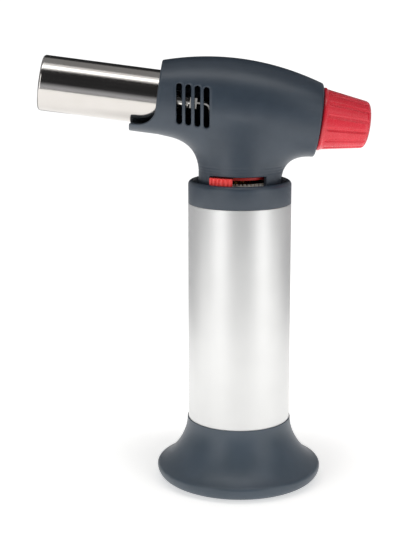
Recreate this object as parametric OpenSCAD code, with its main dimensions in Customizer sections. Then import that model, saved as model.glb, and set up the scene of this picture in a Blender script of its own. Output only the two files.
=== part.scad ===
// Refillable bench torch: a fuel tank on a wide foot, with a tilted burner head.
// Origin: centre of the resting face on the tank's axis. +Z is up, -X is the flame side.

/* [Foot] */
// Largest radius of the foot
foot_r = 35.6; // [34:0.1:44]
// Height of the foot's top edge, where the tank sleeve stands out of it
foot_h = 27.2; // [25:0.1:34]
// Wall of the foot
foot_wall = 2.2; // [1.6:0.1:2.6]
// Thickness of the cover under the foot
plate_t = 2.4; // [2:0.1:3]
// Hole in the cover for a gas refill can's neck
access_r = 9; // [7:0.1:10]

/* [Tank] */
// Outer radius of the metal sleeve around the tank
sleeve_r = 22; // [20:0.1:24]
// Wall of the metal sleeve
sleeve_wall = 0.8; // [0.5:0.1:1.2]
// Height of the sleeve's upper edge
sleeve_top = 121.7; // [100:0.1:146]
// Wall of the fuel tank
tank_wall = 1.8; // [1.4:0.1:2.4]
// Height of the collar above the sleeve
collar_h = 9.7; // [8:0.1:12]

/* [Burner] */
// Upward tilt of the burner in degrees
tilt = 7.5; // [0:0.5:12]
// Outer radius of the burner tube
burner_r = 11.7; // [10:0.1:12]
// Wall of the burner tube
burner_wall = 0.6; // [0.4:0.1:1]
// Distance of the burner mouth from the tank's axis, along the burner
burner_reach = 84.3; // [70:0.1:101]

/* [Head] */
// Height of the burner axis above the sleeve's upper edge
head_rise = 40; // [37:0.1:44]
// How far the head's neck stands in from the sleeve
neck_inset = 4.4; // [3.6:0.1:5.5]
// Wall of the head shells
head_wall = 2; // [1.6:0.1:2.4]
// Distance of the head's front edge from the tank's axis, along the burner
head_front = 35; // [34:0.1:38]
// Distance of the head's rear face from the tank's axis, along the burner
head_rear = 33.3; // [32:0.1:38]
// Number of air slots in the head's near side
vent_count = 4; // [2:1:4]
// Width of an air slot
vent_w = 2.3; // [1.5:0.1:2.8]
// Height of an air slot
vent_h = 16.8; // [12:0.1:18]
// Spacing of the air slots
vent_pitch = 3.74; // [3.4:0.01:4]

/* [Knob] */
// Radius of the ignition knob at its base
knob_base_r = 13.3; // [12:0.1:15]
// Radius of the ignition knob where its domed tip begins
knob_tip_r = 10; // [8.5:0.1:11]
// Length of the ignition knob
knob_len = 21.6; // [18:0.1:26]
// Depth of the knob's grip grooves
flute_depth = 0.7; // [0.3:0.05:0.9]
// Number of grip flutes around the knob
flute_count = 14; // [8:1:18]
// Turn of the knob from off to ignition in degrees
knob_turn = 90; // [60:5:100]
// Travel of the igniter's plunger over that turn
plunger_travel = 4; // [3:0.1:4.5]
// Travel of the valve stem over that turn
valve_travel = 1.2; // [0.8:0.1:1.4]

/* [Flow lever] */
// Angular width of the lever's finger tab in degrees
tab_span = 33; // [20:1:36]
// Angle of the tab's middle from the near side, seen from above
tab_at = -27.5; // [-30:0.5:-24]
// Turn of the lever in degrees
lever_turn = 45; // [30:1:46]
// How far the tab stands out of the neck
tab_proud = 1.8; // [1:0.1:2]

/* [Fits] */
// Radial gap of a turning or sliding fit
run_gap = 0.05; // [0.02:0.01:0.08]
// Gap between fixed pieces
fixed_gap = 0.1; // [0.05:0.01:0.2]
// Gap between a moving piece and its neighbours
moving_gap = 0.3; // [0.25:0.05:0.4]

/* [Hidden] */
// Facets of turned pieces, and of the small round ones
$fn = 96;
fine = 32;
// A cut reaches this far past the piece that it cuts
past = 1;

// Foot: heights of the resting ring, the cover and the seat of the sleeve
ring_proud = 0.5;
ring_depth = 1.3;
rim_z = 5.3;
rim_round = 4.7;
sole_r = foot_r - rim_round;
brim_round = 1.6;
brim_turn = 64;
lip_t = 0.3;
// How far the ends of the flare's curve pull it
flare_pull = 7.1;
lip_pull = [0.3, 7.8];
seat_z = 11;
seat_t = 2.5;
seat_r = 14;
socket_r = sleeve_r + fixed_gap;
foot_top_r = socket_r + lip_t;
plate_z = ring_proud + 0.2;
plate_r = sole_r - 0.8;
foot_boss_at = 17.6;
foot_boss_r = 2.6;
foot_screw_r = 1.25;
foot_head_r = 2.3;
foot_head_h = 1.4;
foot_screw_len = 5.5;
screw_gap = 0.05;
ring_in = 21.4;
ring_out = plate_r - 1.4;

// Tank: the sleeve holds the moulded tank, closed by a cap with a seal ring
sleeve_in = sleeve_r - sleeve_wall;
tank_r = sleeve_in - fixed_gap;
tank_in = tank_r - tank_wall;
tank_floor = 4;
cap_top = sleeve_top - 3.7;
cap_z = cap_top - 6;
cap_plug_z = cap_z - 7;
tank_top = cap_z;
seal_w = 2.6;
seal_depth = 1.7;
seal_z = cap_z - 3.5;
cap_bore_r = 6.5;
cap_plug_r = tank_in - fixed_gap;

// Refill valve in the tank's floor
refill_r = 4;
refill_hex_r = 5.2;
refill_drop = 4;
refill_top = seat_z + tank_floor + 9;
refill_socket_r = 1.6;
refill_socket_len = 3;
refill_stem_r = 1.1;
refill_bore_r = 2.4;

// Collar and neck
collar_top = sleeve_top + collar_h;
collar_round = 1.8;
collar_wall = 2.3;
neck_z = sleeve_top + 2.3;
neck_r = sleeve_r - neck_inset;
neck_in = neck_r - head_wall;
lever_z = collar_top - 0.6;
lever_h = 3.5;
slot_h = 4.1;
slot_start = tab_at - tab_span / 2 - 3.5;
slot_end = tab_at + tab_span / 2 + lever_turn + 4;
tab_r = neck_r + tab_proud;
lever_ring_r = neck_in - 2.4;
lever_ring_w = 1.6;
lever_ring_z = lever_z + 1;
lever_deck_z = lever_ring_z + 1;
lever_deck_h = 1.2;
hub_r = 7.8;
detent_z = lever_ring_z - 2.1;
detent_h = 1.1;
detent_tooth = 0.65;
detent_pitch = 6.4;
detent_count = 15;

// Flow and on/off valve on the tank's axis
valve_z = cap_plug_z - 2;
valve_top = lever_ring_z - 1.7;
valve_flange_r = 9;
valve_flange_h = 2.4;
valve_neck_r = 5.2;
stem_r = 1.5;
stem_low = valve_z + 6;
valve_chamber_r = 3.2;
valve_chamber_z = valve_z + 3;
valve_chamber_top = valve_z + 15;
stem_pad_r = 2.9;
nut_r = 5.6;
nut_teeth = 12;
nut_h = 6;

// Burner axis
axis_z = sleeve_top + head_rise;
axis_dir = [-cos(tilt), 0, sin(tilt)];

// Head outline over the burner axis: a crown arc above and a belly arc below
crown_over = 9.1;
crown = burner_r + crown_over;
crown_at = 2.5;
crown_k = 217;
belly_under = 5.5;
belly = burner_r + belly_under;
belly_at = -6;
belly_k = 792;
belly_end = 33;
neck_blend = 13;
loft_z = axis_z - 3.7;
loft_rings = 28;
loft_sides = 48;
loft_steps = 26;
head_overrun = 5;
lip_end = 45.3;
lip_drop = 0.5;
lip_top = lip_drop - burner_r;
lip_curve = 7.5;
tube_gap = 1;
rear_wall = 2.2;

// Vents: the row follows the burner's tilt
vent_first = -25.4;

// Screws that join the head shells, as [along the burner, above its axis]
low_screw_x = neck_r - 5.84;
low_screw_u = -(low_screw_x + (belly - 1) * sin(tilt)) / cos(tilt);
head_screw_at = [[10, crown - 6.2], [-17, crown - 7.9], [low_screw_u, 1 - belly]];
head_boss_r = 2.3;
head_boss_len = [9.6, 10.2, 10.6];
head_screw_r = 1.1;
head_screw_head_r = 2;
head_screw_head_y = 5.2;
head_screw_head_h = 1.4;
head_screw_len = 9.5;
pilot_r = head_screw_r + screw_gap;

// Igniter on the burner axis, from the knob forwards
cam_r = 7.6;
cam_in = 6.2;
cam_back = -head_rear + 2.3;
cam_front = 3;
cam_floor = 2.5;
spiral_r = 8.4;
spiral_w = 6;
flute_r = 1;
drive_r = 4.5;
drive_len = 9;
drive_flat = 3.2;
bush_r = 9.8;
bush_flange_r = 11.4;
bush_len = 4.8;
bush_flange_t = 2.4;
piezo_r = 5.3;
piezo_back = -9;
piezo_front = 9;
piezo_flange_r = 10.2;
piezo_flange_t = 2.2;
plunger_r = 4.2;
plunger_back = -22;
plunger_front = -4;
piezo_bore_front = 2;
lug_r = 0.9;
lug_reach = 5.8;
lug_at = -20;
ramp_in = 4.7;
ramp_gap = 0.15;
ramp_slope = plunger_travel / knob_turn;

// Burner inside the head and tube
jet_at = 18.4;
jet_len = 6;
jet_r = 3;
jet_hole_r = 0.35;
mix_r = 4.5;
mix_wall = 0.9;
mix_start = jet_at + jet_len - 2.4;
mix_end = 56;
mix_air_r = 1.5;
mix_air_at = mix_start + 5.2;
mix_skirt_r = 5.6;
mix_skirt_len = 2.4;
burner_start = 30.5;
burner_step = 0.25;
burner_free = lip_end + 1.2;
burner_in = burner_r - burner_wall;
mouth_round = 1.1;
retainer_at = 31.5;
retainer_len = 4;
retainer_rim = 1.6;
flame_at = 56.2;
flame_t = 3;
flame_rim = 1.2;
flame_hole_r = 0.8;
wire_r = 0.7;
pipe_r = 1.1;
insulator_r = 1.5;
insulator_start = 29;
insulator_len = 36;
electrode_r = 0.45;
spark_y = 3.4;
spark_w = -7.4;
electrode_len = 42;

// Colours
SLATE = "#444D57";
RED = "#D9434D";
ALU = "#E6E6E3";
STEEL = "#B9B7B2";
BRASS = "#C9A25A";
RUBBER = "#202124";
NATURAL = "#D8D6CC";

// ---- Frames ----

// Puts its children on the burner axis: local +Z runs to the flame, local +X is up
module on_burner(along = 0) {
    translate([0, 0, axis_z])
        rotate([0, tilt - 90, 0])
            translate([0, 0, along])
                children();
}

// A ring around the local Z axis
module ring(r_out, r_in, z0, z1) {
    difference() {
        translate([0, 0, z0])
            cylinder(r = r_out, h = z1 - z0);
        translate([0, 0, z0 - past])
            cylinder(r = r_in, h = z1 - z0 + 2 * past);
    }
}

// A sector of a ring, with angles measured from -Y towards +X
module sector(r_out, r_in, z0, z1, from, to) {
    translate([0, 0, z0])
        rotate([0, 0, from - 90])
            rotate_extrude(angle = to - from)
                translate([r_in, 0])
                    square([r_out - r_in, z1 - z0]);
}

// ---- Curves ----

function mix(a, b, t) = a + (b - a) * t;

function bezier(p, t) =
    pow(1 - t, 3) * p[0] + 3 * t * pow(1 - t, 2) * p[1] + 3 * t * t * (1 - t) * p[2] + pow(t, 3) * p[3];

function bezier_run(p, n) = [for (i = [1:n]) bezier(p, i / n)];

function quarter(centre, a, b, from, n) =
    [for (i = [0:n]) centre + [a * cos(from + 90 * i / n), b * sin(from + 90 * i / n)]];

function along_path(p, i) = p[min(i + 1, len(p) - 1)] - p[max(i - 1, 0)];

// A line of points moved inwards by the wall
function inset(p, d) = [for (i = [0:len(p) - 1])
    let (v = along_path(p, i))
        p[i] + d * [-v[1], v[0]] / norm(v)];

// Rounds the corners of a route with short arcs of a quadratic curve
function soften(p, r, n = 5) = concat([p[0]], [for (i = [1:len(p) - 2])
    let (a = p[i] + r * (p[i - 1] - p[i]) / norm(p[i - 1] - p[i]))
    let (b = p[i] + r * (p[i + 1] - p[i]) / norm(p[i + 1] - p[i]))
        for (k = [0:n])
            let (t = k / n)
                (1 - t) * (1 - t) * a + 2 * t * (1 - t) * p[i] + t * t * b], [p[len(p) - 1]]);

// Sweeps a round section along a route that stays clear of the given side direction
module sweep(path, r, side, sides = 10) {
    n = len(path);
    pts = [for (i = [0:n - 1])
        let (d = along_path(path, i) / norm(along_path(path, i)))
        let (u = cross(side, d) / norm(cross(side, d)))
        let (v = cross(d, u))
            for (k = [0:sides - 1])
                path[i] + r * (cos(360 * k / sides) * u + sin(360 * k / sides) * v)];
    walls = [for (i = [0:n - 2], k = [0:sides - 1])
        let (a = i * sides + k)
        let (b = i * sides + (k + 1) % sides)
            [[a, a + sides, b + sides], [a, b + sides, b]]];
    faces = concat([for (w = walls, f = w) f],
        [[for (k = [0:sides - 1]) k]],
        [[for (k = [sides - 1:-1:0]) (n - 1) * sides + k]]);
    polyhedron(points = pts, faces = faces, convexity = 6);
}

// A coil spring along local Z
module coil(r, wire, z0, z1, turns) {
    n = turns * 12;
    path = [for (i = [0:n])
        [r * cos(30 * i), r * sin(30 * i), mix(z0 + wire, z1 - wire, i / n)]];
    sweep(path, wire, [0, 0, 1], 6);
}

// ---- Head surface ----

function crown_w(u) = crown - (u - crown_at) * (u - crown_at) / crown_k;

function belly_w(u) = -belly + pow(min(u, belly_end) - belly_at, 2) / belly_k;

// Smooth union of two distances
function blend(a, b, k) =
    let (h = max(k - abs(a - b), 0) / max(k, 0.01))
        min(a, b) - h * h * k / 4;

// Signed distance from the head's skin, moved inwards by the inset
function head_skin(p, inward) =
    let (u = -p[0] * cos(tilt) + (p[2] - axis_z) * sin(tilt))
    let (w = p[0] * sin(tilt) + (p[2] - axis_z) * cos(tilt))
    let (c = (crown_w(u) + belly_w(u)) / 2)
    let (rho = max(norm([p[1], w - c]), 0.01))
    let (r = max(norm([p[0], p[1]]), 0.01))
    let (barrel = max(rho - (crown_w(u) - belly_w(u)) / 2 + inward, u - lip_end - head_overrun,
        -head_rear - head_overrun - u))
    let (neck = max(r - neck_r + inward, p[2] - axis_z, neck_z - head_overrun - p[2]))
    let (aligned = (p[0] * sin(tilt) * (w - c) + p[1] * p[1]) / (rho * r))
        blend(barrel, neck, neck_blend * (1 - aligned * aligned));

// Distance along a ray at which it leaves the skin, by halving
function leave(dir, inward, lo, hi, steps) =
    steps == 0 ? (lo + hi) / 2 :
    let (m = (lo + hi) / 2)
        head_skin([0, 0, loft_z] + m * dir, inward) < 0 ? leave(dir, inward, m, hi, steps - 1) :
            leave(dir, inward, lo, m, steps - 1);

// The head as one closed skin, seen from a point inside it
module head_loft(inward) {
    rings = [for (i = [1:loft_rings - 1], k = [0:loft_sides - 1])
        let (lat = -90 + 180 * i / loft_rings)
        let (lon = 360 * k / loft_sides)
        let (dir = [cos(lat) * cos(lon), cos(lat) * sin(lon), sin(lat)])
            [0, 0, loft_z] + dir * leave(dir, inward, 3, 75, loft_steps)];
    low = [0, 0, loft_z] - [0, 0, leave([0, 0, -1], inward, 3, 75, loft_steps)];
    high = [0, 0, loft_z] + [0, 0, leave([0, 0, 1], inward, 3, 75, loft_steps)];
    count = len(rings);
    band = [for (i = [0:loft_rings - 3], k = [0:loft_sides - 1])
        let (a = i * loft_sides + k)
        let (b = i * loft_sides + (k + 1) % loft_sides)
            [[a, a + loft_sides, b + loft_sides], [a, b + loft_sides, b]]];
    ends = [for (k = [0:loft_sides - 1])
        let (j = (k + 1) % loft_sides)
            [[count, k, j], [count + 1, count - loft_sides + j, count - loft_sides + k]]];
    faces = concat([for (w = band, f = w) f], [for (w = ends, f = w) f]);
    polyhedron(points = concat(rings, [low, high]), faces = faces, convexity = 8);
}

// Side view of what is cut away in front of the head: a straight edge, a round and the lip
module front_cut() {
    knee = lip_top + lip_curve;
    on_burner()
        rotate([90, 0, 0])
            translate([0, 0, -40])
                linear_extrude(80)
                    polygon(concat(
                        [[60, head_front], [knee, head_front]],
                        [for (i = [1:8])
                            [knee - lip_curve * sin(90 * i / 8),
                                head_front + lip_curve * (1 - cos(90 * i / 8))]],
                        [[lip_top, lip_end], [-40, lip_end], [-40, 90], [60, 90]]));
}

module vents() {
    for (i = [0:vent_count - 1]) {
        x = vent_first + i * vent_pitch;
        translate([x, 0, axis_z - x * tan(tilt)])
            rotate([90, 0, 0])
                linear_extrude(60)
                    stadium(vent_w, vent_h);
    }
}

module stadium(w, h) {
    square([w, h - w], center = true);
    for (s = [-1, 1])
        translate([0, s * (h - w) / 2])
            circle(d = w, $fn = fine);
}

// Both head halves as one open shell, without the screw bosses
module head_body() {
    difference() {
        head_loft(0);
        difference() {
            head_loft(head_wall);
            on_burner(-head_rear - 20)
                cylinder(r = 40, h = 20 + rear_wall);
        }
        front_cut();
        on_burner(-head_rear - 30)
            cylinder(r = 40, h = 30);
        translate([-30, -30, neck_z - 30])
            cube([60, 60, 30]);
        on_burner(-head_rear - past)
            cylinder(r = bush_r + fixed_gap, h = rear_wall + 2 * past);
        on_burner(burner_start - 3)
            cylinder(r = burner_r + tube_gap, h = burner_reach);
    }
}

module lever_slot() {
    sector(neck_r + 3, neck_in - 3, lever_z - 0.2, lever_z - 0.2 + slot_h, slot_start, slot_end);
}

// Places its children at each head screw, with local +Z running to the far side
module at_head_screws() {
    for (i = [0:len(head_screw_at) - 1])
        on_burner(head_screw_at[i][0])
            translate([head_screw_at[i][1], 0, 0])
                rotate([-90, 0, 0]) {
                    $boss_len = head_boss_len[i];
                    children();
                }
}

// ---- Foot ----

function turned(centre, r, steps) =
    [for (i = steps) centre + r * [cos(i * brim_turn / 5), sin(i * brim_turn / 5)]];

function foot_skin() = concat(
    quarter([sole_r, rim_z], rim_round, rim_z - ring_proud, -90, 8),
    turned([foot_r - brim_round, rim_z], brim_round, [1:5]),
    let (brim = turned([foot_r - brim_round, rim_z], brim_round, [5:5])[0])
        bezier_run([brim, brim + flare_pull * [-sin(brim_turn), cos(brim_turn)],
            [foot_top_r, foot_h] - lip_pull, [foot_top_r, foot_h]], 14));

module foot_shell() {
    skin = foot_skin();
    // The inset line doubles back under the brim, and is cut short there
    hollow_r = foot_r - foot_wall - 0.15;
    hollow = [for (p = inset(skin, foot_wall))
        if (p[0] > socket_r + foot_wall && p[0] < hollow_r && p[1] > plate_z + 2) p];
    color(SLATE)
    difference() {
        union() {
            difference() {
                rotate_extrude()
                    polygon(concat([[0, ring_proud]], skin, [[0, foot_h]]));
                rotate_extrude()
                    polygon(concat([[0, 0], [sole_r - 0.4, 0]], [[sole_r - 0.4, hollow[0][1]]], hollow,
                        [[socket_r + foot_wall, seat_z - seat_t], [0, seat_z - seat_t]]));
                translate([0, 0, seat_z])
                    cylinder(r = socket_r, h = foot_h);
            }
            foot_bosses();
        }
        translate([0, 0, -past])
            cylinder(r = seat_r, h = foot_h);
        at_foot_screws()
            cylinder(r = foot_screw_r + screw_gap, h = plate_z + plate_t + foot_screw_len, $fn = fine);
    }
}

module at_foot_screws() {
    for (a = [60, 180, 300])
        rotate([0, 0, a])
            translate([foot_boss_at, 0, 0])
                children();
}

module foot_bosses() {
    at_foot_screws()
        translate([0, 0, plate_z + plate_t + fixed_gap])
            cylinder(r = foot_boss_r, h = seat_z - plate_z - plate_t - 0.2, $fn = fine);
}

module foot_plate() {
    color(SLATE)
    difference() {
        ring(plate_r, access_r, plate_z, plate_z + plate_t);
        ring(ring_out + fixed_gap, ring_in - fixed_gap, -past, plate_z + ring_depth);
        at_foot_screws() {
            translate([0, 0, -past])
                cylinder(r = foot_screw_r + 0.2, h = plate_t + 3, $fn = fine);
            translate([0, 0, -past])
                cylinder(r = foot_head_r + 0.2, h = plate_z + foot_head_h + past, $fn = fine);
        }
    }
}

module foot_ring() {
    color(RUBBER)
    ring(ring_out, ring_in, 0, plate_z + ring_depth - 0.02);
}

module foot_screws() {
    color(STEEL)
    at_foot_screws()
        screw(foot_screw_r, foot_head_r, foot_head_h, plate_z + 0.1, foot_screw_len);
}

// Pan screw with a cross recess, head at the bottom
module screw(shank, head, head_h, z0, len) {
    difference() {
        union() {
            translate([0, 0, z0])
                cylinder(r = head, h = head_h - 0.12, $fn = fine);
            translate([0, 0, z0])
                cylinder(r = shank, h = head_h + len, $fn = fine);
        }
        for (a = [0, 90])
            rotate([0, 0, a])
                translate([-head * 0.6, -0.3, z0 - past])
                    cube([head * 1.2, 0.6, past + head_h * 0.55]);
    }
}

// ---- Tank ----

module fuel_sleeve() {
    color(ALU)
    ring(sleeve_r, sleeve_in, seat_z, sleeve_top);
}

module fuel_tank() {
    color(NATURAL)
    difference() {
        translate([0, 0, seat_z])
            cylinder(r = tank_r, h = tank_top - seat_z);
        translate([0, 0, seat_z + tank_floor])
            cylinder(r = tank_in, h = tank_top);
        translate([0, 0, seat_z - past])
            cylinder(r = refill_r + 0.02, h = tank_floor + 2 * past);
    }
}

module tank_cap() {
    color(NATURAL)
    difference() {
        union() {
            translate([0, 0, cap_z])
                cylinder(r = tank_r, h = cap_top - cap_z);
            translate([0, 0, cap_plug_z])
                cylinder(r = cap_plug_r, h = cap_z - cap_plug_z + past);
        }
        translate([0, 0, cap_plug_z - past])
            cylinder(r = cap_bore_r + 0.02, h = cap_top);
        ring(cap_plug_r + past, cap_plug_r - seal_depth, seal_z - seal_w / 2, seal_z + seal_w / 2);
    }
}

module tank_seal() {
    color(RUBBER)
    rotate_extrude()
        translate([tank_in - 0.92, seal_z])
            circle(r = 0.84, $fn = fine);
}

// Felt wick that draws liquid gas from the tank's floor up to the valve
module fuel_wick() {
    color(NATURAL)
    ring(2.6, 1.1, refill_top + 1.5, valve_z - 0.1);
}

module refill_valve() {
    z0 = seat_z - refill_drop;
    color(BRASS)
    difference() {
        union() {
            translate([0, 0, z0])
                cylinder(r = refill_r, h = refill_top - z0, $fn = fine * 2);
            translate([0, 0, seat_z - 2])
                cylinder(r = refill_hex_r, h = 1.9, $fn = 6);
        }
        translate([0, 0, z0 - past])
            cylinder(r = refill_socket_r, h = past + refill_socket_len, $fn = fine * 2);
        translate([0, 0, z0])
            cylinder(r = refill_stem_r + 0.15, h = 40, $fn = fine * 2);
        translate([0, 0, z0 + 5])
            cylinder(r = refill_bore_r, h = 40, $fn = fine * 2);
        ring(refill_r + past, refill_r - 0.9, seat_z + tank_floor + 0.6, seat_z + tank_floor + 2);
    }
}

module refill_seal() {
    z = seat_z + tank_floor + 1.3;
    color(RUBBER)
    rotate_extrude()
        translate([refill_r + 0.1, z])
            circle(r = 0.65, $fn = fine);
}

module refill_stem() {
    z0 = seat_z - refill_drop;
    color(STEEL)
    union() {
        translate([0, 0, z0 + 3.2])
            cylinder(r = refill_stem_r, h = 10, $fn = fine);
        translate([0, 0, z0 + 5.1])
            cylinder(r = refill_bore_r - run_gap, h = 1.5, $fn = fine);
    }
}

module refill_spring() {
    z0 = seat_z - refill_drop + 6.6;
    color(STEEL)
    translate([0, 0, z0])
        coil(1.7, 0.25, 0.05, refill_top - z0 - 0.2, 5);
}

module collar() {
    color(SLATE)
    rotate_extrude()
        polygon(concat(
            [[sleeve_r, sleeve_top]],
            [for (i = [0:6])
                [sleeve_r - collar_round + collar_round * cos(15 * i),
                    collar_top - collar_round + collar_round * sin(15 * i)]],
            [[neck_r + 2.5, collar_top], [neck_r + 2.2, lever_z - 0.4], [neck_r + 0.25, lever_z - 0.4],
                [neck_r + 0.25, collar_top - 3.2], [sleeve_r - collar_wall, collar_top - 3.6],
                [sleeve_r - collar_wall, cap_top + fixed_gap],
                [sleeve_in - fixed_gap, cap_top + fixed_gap], [sleeve_in - fixed_gap, sleeve_top]]));
}

// ---- Head ----

module head_shell_near() {
    color(SLATE)
    difference() {
        union() {
            intersection() {
                head_body();
                translate([-60, -60, 0])
                    cube([120, 60 - 0.02, 260]);
            }
            at_head_screws()
                translate([0, 0, -$boss_len])
                    cylinder(r = head_boss_r, h = $boss_len - 0.05, $fn = fine);
        }
        at_head_screws()
            translate([0, 0, -head_screw_len + head_screw_head_y - 0.4])
                cylinder(r = pilot_r, h = 20, $fn = fine);
        lever_slot();
        vents();
    }
}

module head_shell_far() {
    color(SLATE)
    difference() {
        union() {
            intersection() {
                head_body();
                translate([-60, 0.02, 0])
                    cube([120, 60, 260]);
            }
            at_head_screws()
                translate([0, 0, 0.05])
                    cylinder(r = head_boss_r + 0.5, h = $boss_len, $fn = fine);
        }
        at_head_screws() {
            translate([0, 0, -past])
                cylinder(r = pilot_r, h = 20, $fn = fine);
            translate([0, 0, head_screw_head_y])
                cylinder(r = head_screw_head_r + 0.15, h = 20, $fn = fine);
        }
    }
}

module head_screws() {
    color(STEEL)
    at_head_screws()
        translate([0, 0, head_screw_head_y + head_screw_head_h + 0.05])
            rotate([180, 0, 0])
                screw(head_screw_r, head_screw_head_r, head_screw_head_h, 0, head_screw_len);
}

// ---- Burner ----

module burner_tube() {
    color(STEEL)
    on_burner()
        rotate_extrude()
            polygon(concat(
                [[burner_in, burner_start], [burner_r - burner_step, burner_start],
                    [burner_r - burner_step, burner_free], [burner_r, burner_free]],
                [for (i = [0:8])
                    [burner_r - mouth_round + mouth_round * cos(22.5 * i),
                        burner_reach - mouth_round + mouth_round * sin(22.5 * i)]],
                [[burner_in, burner_reach - 2.4]]));
}

// Ring with air windows that centres the burner tube on the mixing tube
module tube_retainer() {
    color(STEEL)
    on_burner()
        difference() {
            union() {
                ring(burner_in - 0.03, burner_in - retainer_rim, retainer_at, retainer_at + retainer_len);
                ring(mix_r + 1.6, mix_r + 0.03, retainer_at, retainer_at + retainer_len);
                for (a = [0:60:300])
                    rotate([0, 0, a])
                        translate([mix_r + 0.8, -0.9, retainer_at])
                            cube([burner_in - mix_r - 2, 1.8, retainer_len]);
            }
            translate([0, 0, retainer_at - past])
                insulator_place()
                    cylinder(r = insulator_r + 0.1, h = 20, $fn = fine);
        }
}

module insulator_place() {
    translate([spark_w, spark_y, 0])
        children();
}

module mixing_tube() {
    color(BRASS)
    on_burner()
        difference() {
            union() {
                translate([0, 0, mix_start])
                    cylinder(r = mix_r, h = mix_end - mix_start);
                translate([0, 0, mix_start])
                    cylinder(r = mix_skirt_r, h = mix_skirt_len);
            }
            translate([0, 0, mix_start + mix_skirt_len])
                cylinder(r = mix_r - mix_wall, h = mix_end);
            translate([0, 0, mix_start - past])
                cylinder(r = jet_r + 0.02, h = 20);
            for (a = [45, 135])
                rotate([0, 0, a])
                    translate([0, 0, mix_air_at])
                        rotate([90, 0, 0])
                            cylinder(r = mix_air_r, h = 30, center = true, $fn = fine);
        }
}

// Perforated disc at the end of the mixing tube that the flame stands on
module flame_holder() {
    hole_r = [3, 6.2, 9];
    hole_n = [6, 12, 18];
    color(STEEL)
    on_burner(flame_at)
        difference() {
            cylinder(r = burner_in - 0.03, h = flame_t);
            for (k = [0:2], a = [0:360 / hole_n[k]:359])
                rotate([0, 0, a])
                    translate([hole_r[k], 0, -past])
                        cylinder(r = flame_hole_r, h = flame_t + 2 * past, $fn = 16);
            translate([0, 0, -past])
                insulator_place()
                    cylinder(r = insulator_r + 0.1, h = 20, $fn = fine);
        }
}

module gas_jet() {
    color(BRASS)
    on_burner()
        difference() {
            union() {
                translate([0, 0, jet_at])
                    cylinder(r = jet_r, h = jet_len);
                translate([0, 0, jet_at])
                    cylinder(r = jet_r + 1.4, h = 3, $fn = 6);
            }
            translate([0, 0, jet_at - past])
                cylinder(r = pipe_r + 0.02, h = 3 + past, $fn = fine);
            translate([0, 0, jet_at])
                cylinder(r = jet_hole_r, h = 20, $fn = fine);
        }
}

// Route of the gas pipe from the valve's side outlet to the jet
pipe_turn_z = lever_deck_z + lever_deck_h + 3;
pipe_x = 5.2 - neck_in;
pipe_out_z = cap_top + valve_flange_h + 4;
jet_back = [0, 0, axis_z] + (jet_at + 1.6) * axis_dir;
pipe_lead = [0, 0, axis_z] + (jet_at - 5.2) * axis_dir;
pipe_route = [[-valve_neck_r - 2.2, 0, pipe_out_z], [pipe_x, 0, pipe_out_z],
    [pipe_x, 0, pipe_turn_z + 8], pipe_lead, jet_back];

module gas_pipe() {
    color(BRASS)
    sweep(soften(pipe_route, 2.2), pipe_r, [0, 1, 0]);
}

// ---- Valve ----

module valve_body() {
    color(BRASS)
    difference() {
        union() {
            translate([0, 0, valve_z])
                cylinder(r = cap_bore_r, h = cap_top - valve_z);
            translate([0, 0, cap_top + 0.02])
                cylinder(r = valve_flange_r, h = valve_flange_h, $fn = 6);
            translate([0, 0, cap_top - past])
                cylinder(r = valve_neck_r, h = valve_top - cap_top + past);
            translate([0, 0, pipe_out_z])
                rotate([0, -90, 0])
                    cylinder(r = 2, h = valve_neck_r + 2.6, $fn = fine);
        }
        translate([0, 0, valve_chamber_z])
            cylinder(r = valve_chamber_r, h = valve_chamber_top - valve_chamber_z);
        translate([0, 0, valve_z - past])
            cylinder(r = 1, h = 10, $fn = fine);
        translate([0, 0, valve_chamber_z])
            cylinder(r = stem_r + run_gap, h = 40);
        translate([-valve_neck_r + 1, 0, pipe_out_z])
            rotate([0, -90, 0])
                cylinder(r = pipe_r + 0.02, h = 10, $fn = fine);
        ring(cap_bore_r + past, cap_bore_r - 1.2, cap_plug_z + 2, cap_plug_z + 4);
    }
}

module valve_seal() {
    color(RUBBER)
    rotate_extrude()
        translate([cap_bore_r - 0.62, cap_plug_z + 3])
            circle(r = 0.55, $fn = fine);
}

// Where the stem's rounded end meets the cam at rest
stem_tip = axis_z - (spiral_r + ramp_gap) / cos(tilt);

module valve_stem() {
    color(STEEL)
    union() {
        translate([0, 0, stem_low])
            cylinder(r = stem_r, h = stem_tip - stem_r - stem_low, $fn = fine * 2);
        translate([0, 0, stem_tip - stem_r])
            sphere(r = stem_r, $fn = fine);
        translate([0, 0, valve_chamber_top - 3.4])
            cylinder(r = stem_pad_r, h = 3.2, $fn = fine * 2);
    }
}

module valve_spring() {
    z0 = valve_chamber_z + 0.1;
    color(STEEL)
    translate([0, 0, z0])
        coil(2.35, 0.3, 0, valve_chamber_top - 3.6 - z0, 5);
}

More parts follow.
